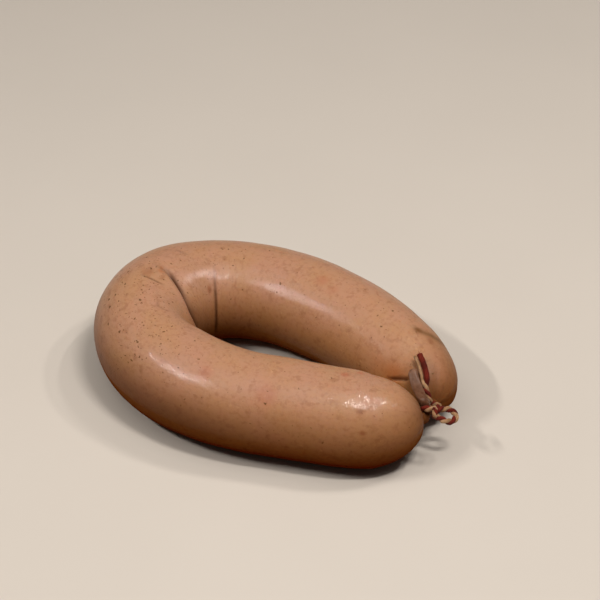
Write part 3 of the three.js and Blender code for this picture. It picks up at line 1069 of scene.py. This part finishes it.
def specks(tree, places, spacing, largest, share, strength):
    """Round specks; spacing and largest radius are in mm, and share is that of the cells with a speck."""
    cells = add(tree, "ShaderNodeTexVoronoi", {"Vector": places, "Scale": 1.0 / spacing, "Randomness": 1.0})
    draws = add(tree, "ShaderNodeSeparateColor", {"Color": cells.outputs["Color"]})
    chosen = add(tree, "ShaderNodeMath", {0: draws.outputs["Red"], 1: share}, operation="LESS_THAN")
    widest = largest / spacing
    size = linear_range(tree, draws.outputs["Green"], 0.0, 1.0, SMALLEST_SPECK * widest, widest)
    reach = add(tree, "ShaderNodeMath", {0: cells.outputs["Distance"], 1: size}, operation="DIVIDE")
    disc = ranged(tree, reach.outputs[0], SPECK_RIM_FROM, 1.0, 1.0, 0.0)
    return product(tree, product(tree, disc, chosen.outputs[0]), strength)


def bent_places(tree, places):
    """Places pushed about by up to half a millimetre, which makes round specks crooked."""
    push = add(tree, "ShaderNodeTexNoise", {"Vector": places, "Scale": PUSH_SCALE, "Detail": 2.0})
    halves = (0.5, 0.5, 0.5)
    even = add(tree, "ShaderNodeVectorMath", {0: push.outputs["Color"], 1: halves}, operation="SUBTRACT")
    inputs = {0: even.outputs[0], 1: (PUSH_MM, PUSH_MM, PUSH_MM), 2: places}
    return add(tree, "ShaderNodeVectorMath", inputs, operation="MULTIPLY_ADD").outputs[0]


FAT_SPECKS = {"spacing": 2.4, "largest": 0.75, "share": 0.35, "strength": 0.3}
PEPPER_SPECKS = [
    {"spacing": 2.4, "largest": 0.68, "strength": 0.85},
    {"spacing": 1.4, "largest": 0.4, "strength": 0.65},
]
print("pepper specks up to", [2 * kind["largest"] for kind in PEPPER_SPECKS], "mm across")

# %% Colour of the casing
CASING = {
    "pink": "B5886F",
    "tan": "B38866",
    "lean": "97684C",
    "fat": "CBA27C",
    "pepper": "5E3A18",
    "brown": "7E4526",
    "red": "A65239",
    "vein": "604018",
    # painted shade on the lower flanks
    "underside": "6E3A0C",
    # painted shade in chosen fields
    "painted_shade_fields": "866024",
    # painted tint of the shade low down, deeper and more saturated
    "painted_shade_tint": "F8DC96",
    # painted shade in the creases and the deep fold
    "crease": "5A3218",
    # amber bits, and painted warm bounce light between the arms
    "amber": "A8653A",
}
# The size in mm, the detail and the roughness of each pattern of noise
MOTTLE_NOISE = {"fields": (17.0, 5.0, 0.65), "grain": (1.9, 3.0, 0.6), "blotches": (3.6, 2.0, 0.5)}
# The noise at which it starts and is full, and its least and most share of the colour
MOTTLE_COVER = {
    "fields": (0.3, 0.7, 0.0, 1.0),
    "grain": (0.45, 0.75, 0.0, 0.42),
    "blotches": (0.56, 0.74, 0.0, 0.5),
}
# Heights in mm between which the lower flanks get painted shade: full low down, none high up
PAINTED_SHADE_MM = {"full_at": 8.0, "none_at": 33.0}
# Heights in mm between which the painted tint of the shade fades out
PAINTED_SHADE_TINT_MM = {"full_at": 14.0, "none_at": 36.0}


def height(tree):
    position = add(tree, "ShaderNodeTexCoord").outputs["Object"]
    return add(tree, "ShaderNodeSeparateXYZ", {"Vector": position}).outputs["Z"]


def low_share(tree, heights):
    """1 up to one height and 0 from another, both in mm."""
    return linear_range(tree, height(tree), heights["full_at"] * MM, heights["none_at"] * MM, 1.0, 0.0)


def painted_shade_share(tree):
    """Painted shade: the lower flanks are painted a deeper, duller brown than the top."""
    return product(tree, low_share(tree, PAINTED_SHADE_MM), mark(tree, "shaded"))


def mottle(tree, places, name):
    return ranged(tree, noise_at(tree, places, *MOTTLE_NOISE[name]), *MOTTLE_COVER[name])


def casing_colour(tree, places):
    colour = blended(tree, mottle(tree, places, "fields"), CASING["pink"], CASING["tan"])
    for pattern in ("grain", "blotches"):
        colour = blended(tree, mottle(tree, places, pattern), colour, CASING["lean"])
    crooked = bent_places(tree, places)
    colour = blended(tree, specks(tree, crooked, **FAT_SPECKS), colour, CASING["fat"])
    # Amber bits, and painted warm light bounced between the arms near the rear end
    colour = blended(tree, mark(tree, "amber_bits_and_painted_bounce"), colour, CASING["amber"])
    # Painted shade: low down the casing is multiplied with a dark brown
    colour = blended(tree, painted_shade_share(tree), colour, CASING["underside"], "MULTIPLY")
    # Painted shade: a yellow multiply makes the low parts more saturated
    colour = blended(tree, low_share(tree, PAINTED_SHADE_TINT_MM), colour, CASING["painted_shade_tint"], "MULTIPLY")
    # Painted shade: chosen fields are multiplied darker and browner
    colour = blended(tree, mark(tree, "painted_shade_fields"), colour, CASING["painted_shade_fields"], "MULTIPLY")
    for name, pigment in (("red_spot", "red"), ("brown_spot", "brown"), ("vein", "vein")):
        colour = blended(tree, mark(tree, name), colour, CASING[pigment])
    # Painted shade: the creases and the deep fold are darkened
    colour = blended(tree, mark(tree, "crease"), colour, CASING["crease"], "MULTIPLY")
    for kind in PEPPER_SPECKS:
        pepper = specks(tree, crooked, share=mark(tree, "pepper"), **kind)
        colour = blended(tree, pepper, colour, CASING["pepper"])
    return colour


print("casing colours:", CASING)

# %% [markdown]
# The wet film breaks the lamps' reflections into small bright bits. That comes from ripples of the skin
# about a millimetre across and a tenth of a millimetre high, too low for the mesh, so they are a bump. A
# second bump is drawn out lengthwise, because gut has fine fibres that run along it.

# %% Skin of the casing
RIPPLES = {"size_mm": 0.8, "stretch": (1.5, 0.8, 0.8), "detail": 3.0, "roughness": 0.55}
RIPPLE_HEIGHT_MM = 0.11
FIBRES = {"size_mm": 0.9, "stretch": (0.16, 1.0, 1.0)}
FIBRE_HEIGHT_MM = 0.035
WET_FILM = {"Coat Roughness": 0.05, "Coat IOR": 1.45}
FILM_MM = {"none_at": 26.0, "full_at": 36.0, "bit": 0.9}
FILM_BITS = {"dry_below": 0.43, "wet_above": 0.52, "dry_share": 0.05}
GLOSS = {"above": 0.22, "below": 0.0, "from_share": 0.1, "to_share": 0.65}
SKIN = {"Roughness": 0.42, "IOR": 1.42, "Subsurface Weight": 0.35, "Subsurface Scale": 2.2 * MM}
SKIN_DEPTHS = (1.0, 0.42, 0.25)


def casing_bump(tree, places):
    ripples = bump(tree, drawn_noise(tree, places, **RIPPLES), RIPPLE_HEIGHT_MM)
    return bump(tree, drawn_noise(tree, places, **FIBRES), FIBRE_HEIGHT_MM, Normal=ripples)


def film_share(tree, places):
    """The film lies on the top, thicker in fields, in bits of about a millimetre."""
    high = ranged(tree, height(tree), FILM_MM["none_at"] * MM, FILM_MM["full_at"] * MM)
    drops = noise_at(tree, places, FILM_MM["bit"])
    bits = ranged(tree, drops, FILM_BITS["dry_below"], FILM_BITS["wet_above"], FILM_BITS["dry_share"], 1.0)
    return product(tree, product(tree, high, bits), mark(tree, "wet"))


def gloss(tree):
    """The duller skin under the film shines on top, and not on the lower flanks."""
    below = painted_shade_share(tree)
    return linear_range(tree, below, GLOSS["from_share"], GLOSS["to_share"], GLOSS["above"], GLOSS["below"])


def boiled_casing():
    material, tree = new_material("boiled_natural_casing")
    places = add(tree, "ShaderNodeAttribute", attribute_name="straight").outputs["Vector"]
    rough_normal = casing_bump(tree, places)
    inputs = {
        "Base Color": casing_colour(tree, places),
        "Normal": rough_normal,
        "Coat Normal": rough_normal,
        "Subsurface Radius": SKIN_DEPTHS,
        "Coat Weight": film_share(tree, places),
        "Specular IOR Level": gloss(tree),
        **SKIN,
        **WET_FILM,
    }
    return surfaced(material, tree, inputs)


casing.data.materials.append(boiled_casing())
print("casing material:", casing.data.materials[0].name)

# %% [markdown]
# ## The empty casing
#
# Without filling behind it the membrane is clouded and lets some light through; a little transmission and a
# strong scattering do that. Towards its foot its colour is painted darker, which stands for the shade there.

# %% Empty casing material
EMPTY = {"light": "8C6751", "shade": "704A34", "painted_foot_shade": "583620"}
# Heights in mm between which the sleeve's foot is painted darker, standing for shade, and how strong that is
EMPTY_FOOT_SHADE = {"full_at": 22.0, "none_at": 31.0, "share": 0.9}
EMPTY_CLOUDS = {"size": 2.6, "none_at": 0.35, "full_at": 0.7}
EMPTY_FOLDS = {"size": 0.8, "height": 0.05}
EMPTY_SKIN = {
    "Roughness": 0.42,
    "IOR": 1.38,
    "Specular IOR Level": 0.3,
    "Transmission Weight": 0.15,
    "Subsurface Weight": 0.6,
    "Subsurface Scale": 1.2 * MM,
    "Subsurface Radius": (1.0, 0.8, 0.75),
    "Coat Weight": 0.06,
    "Coat Roughness": 0.3,
}


def empty_casing():
    material, tree = new_material("empty_natural_casing")
    position = add(tree, "ShaderNodeTexCoord").outputs["Object"]
    mist = noise_at(tree, position, EMPTY_CLOUDS["size"] * MM, 3.0)
    clouds = ranged(tree, mist, EMPTY_CLOUDS["none_at"], EMPTY_CLOUDS["full_at"])
    colour = blended(tree, clouds, EMPTY["light"], EMPTY["shade"])
    heights = EMPTY_FOOT_SHADE["full_at"] * MM, EMPTY_FOOT_SHADE["none_at"] * MM
    # Painted shade: the sleeve is darker towards its foot
    low = ranged(tree, height(tree), *heights, EMPTY_FOOT_SHADE["share"], 0.0)
    folds = noise_at(tree, position, EMPTY_FOLDS["size"] * MM, 3.0)
    inputs = {
        "Base Color": blended(tree, low, colour, EMPTY["painted_foot_shade"]),
        "Normal": bump(tree, folds, EMPTY_FOLDS["height"]),
        **EMPTY_SKIN,
    }
    return surfaced(material, tree, inputs)


sleeve.data.materials.append(empty_casing())
print("sleeve material:", sleeve.data.materials[0].name)

# %% [markdown]
# ## Dyed and undyed cotton
#
# Butcher's twine is cotton. Up close a ply is a bundle of fibres that wind round it, so both its colour and
# its bump are stripes a few tenths of a millimetre wide, drawn along the yarn. Cotton has no gloss, only a
# soft sheen at the rims from the fibres that stand off. Here it is damp and a little greasy, and so darker.

# %% Twine materials
BUNDLES = {"size_mm": 0.22, "stretch": (0.12, 1.0, 1.0), "roughness": 0.6}
BUNDLE_HEIGHT_MM = 0.12
STAIN_MM = 3.0
# The noise at which it starts and is full, and its least and most share of the deeper colour
BUNDLE_COVER = (0.35, 0.65, 0.0, 0.6)
STAIN_COVER = (0.35, 0.65, 0.0, 0.8)
COTTON = {
    "Roughness": 0.8,
    "Specular IOR Level": 0.2,
    "Sheen Roughness": 0.5,
    "Subsurface Weight": 0.1,
    "Subsurface Scale": 0.4 * MM,
}


def cotton(name, pale, deep, sheen):
    material, tree = new_material(name)
    places = add(tree, "ShaderNodeAttribute", attribute_name="straight").outputs["Vector"]
    bundles = drawn_noise(tree, places, **BUNDLES)
    between = ranged(tree, bundles, *BUNDLE_COVER)
    stains = ranged(tree, noise_at(tree, places, STAIN_MM, 3.0), *STAIN_COVER)
    share = add(tree, "ShaderNodeMath", {0: between, 1: stains}, operation="MAXIMUM").outputs[0]
    inputs = {
        "Base Color": blended(tree, share, pale, deep),
        "Normal": bump(tree, bundles, BUNDLE_HEIGHT_MM),
        "Sheen Weight": sheen,
        **COTTON,
    }
    return surfaced(material, tree, inputs)


red_ply.data.materials.append(cotton("dyed_red_cotton", "74200F", "420C04", 0.03))
cream_ply.data.materials.append(cotton("undyed_cotton", "B6926F", "74502F", 0.06))
print("twine materials:", red_ply.data.materials[0].name, cream_ply.data.materials[0].name)

# %% [markdown]
# ## What rides on what, and what stands for what
#
# The object has no joints, so every piece rides on the one body, "root". The filled and the empty casing
# together stand for the solid "sausage", and the two plies for the solid "twine".

# %% Riding and replacing
for piece, node, finish in (
    (casing, "sausage", "casing"),
    (sleeve, "sausage", "casing"),
    (red_ply, "twine", "twine"),
    (cream_ply, "twine", "twine"),
):
    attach(piece, "root")
    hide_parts(node)
    print(piece.name, "stands for", node)

# %% [markdown]
# ## The table and the light
#
# The ring lies on a plain pale table. In the photograph each arm has two bright spots, one near its right
# end and one towards the bend. A wide soft lamp high over the ring gives most of the light. Four small
# lamps, as bright as windows, give the spots: three on the right and one on the left. A weak, even light
# from all around fills the shadows.

# %% Table
TABLE_SIZE = 8.0
TABLE_BELOW_MM = 0.05
TABLE_CLOUD_MM = 90.0


def pale_table():
    bpy.ops.mesh.primitive_plane_add(size=TABLE_SIZE, location=(0.0, 0.0, -TABLE_BELOW_MM * MM))
    table = bpy.context.object
    table.name = table.data.name = "table"
    material, tree = new_material("pale_table_paint")
    position = add(tree, "ShaderNodeTexCoord").outputs["Object"]
    cloud = noise_at(tree, position, TABLE_CLOUD_MM * MM, 3.0)
    paint = {"Base Color": blended(tree, cloud, "D2CCC4", "CDC7BF"), "Roughness": 0.7}
    table.data.materials.append(surfaced(material, tree, paint))
    return table


table = pale_table()
print("table:", table.name)

# %% Lamps and surroundings
LAMP_DISTANCE = 1.1
LAMPS = [
    {"name": "wide_lamp_above", "towards": (-0.05, -0.2, 0.97), "watts": 4.3, "size": (1.2, 0.8)},
    {"name": "window_right", "towards": (0.24, -0.3, 0.92), "watts": 4.7, "size": (0.24, 0.05)},
    {"name": "window_between", "towards": (0.44, 0.1, 0.89), "watts": 1.5, "size": (0.16, 0.03)},
    {"name": "window_far_right", "towards": (0.56, 0.06, 0.83), "watts": 1.5, "size": (0.05, 0.1)},
    {"name": "window_left", "towards": (-0.6, -0.24, 0.76), "watts": 3.6, "size": (0.26, 0.03)},
]
TURNED_LAMPS = {"window_between": (0.3, 1, 0), "window_left": (0.38, -0.92, 0)}
USUAL_LAMP_SIDE = (1, 0, 0)
LAMP_COLOUR = "FFF7EF"
SURROUND_COLOUR = "F2E6D8"
SURROUND_STRENGTH = 0.06


def hang_lamp(name, towards, watts, size):
    """A lamp that faces the ring, with its first side along a chosen direction."""
    data = bpy.data.lights.new(name, "AREA")
    data.shape = "RECTANGLE"
    data.size, data.size_y = size
    data.energy = watts
    data.color = linear(LAMP_COLOUR)[:3]
    lamp = bpy.data.objects.new(name, data)
    bpy.context.scene.collection.objects.link(lamp)
    away = Vector(towards).normalized()
    along = TURNED_LAMPS.get(name, USUAL_LAMP_SIDE)
    lamp.location = away * LAMP_DISTANCE
    side = (Vector(along) - away * away.dot(along)).normalized()
    lamp.rotation_euler = Matrix((side, away.cross(side), away)).transposed().to_euler()
    return lamp


def light_surroundings():
    world = bpy.data.worlds.new("studio")
    bpy.context.scene.world = world
    world.use_nodes = True
    background = world.node_tree.nodes["Background"]
    background.inputs["Color"].default_value = linear(SURROUND_COLOUR)
    background.inputs["Strength"].default_value = SURROUND_STRENGTH


for lamp in LAMPS:
    hang_lamp(**lamp)
light_surroundings()
bpy.context.scene.view_settings.view_transform = "Standard"
print(len(LAMPS), "lamps")
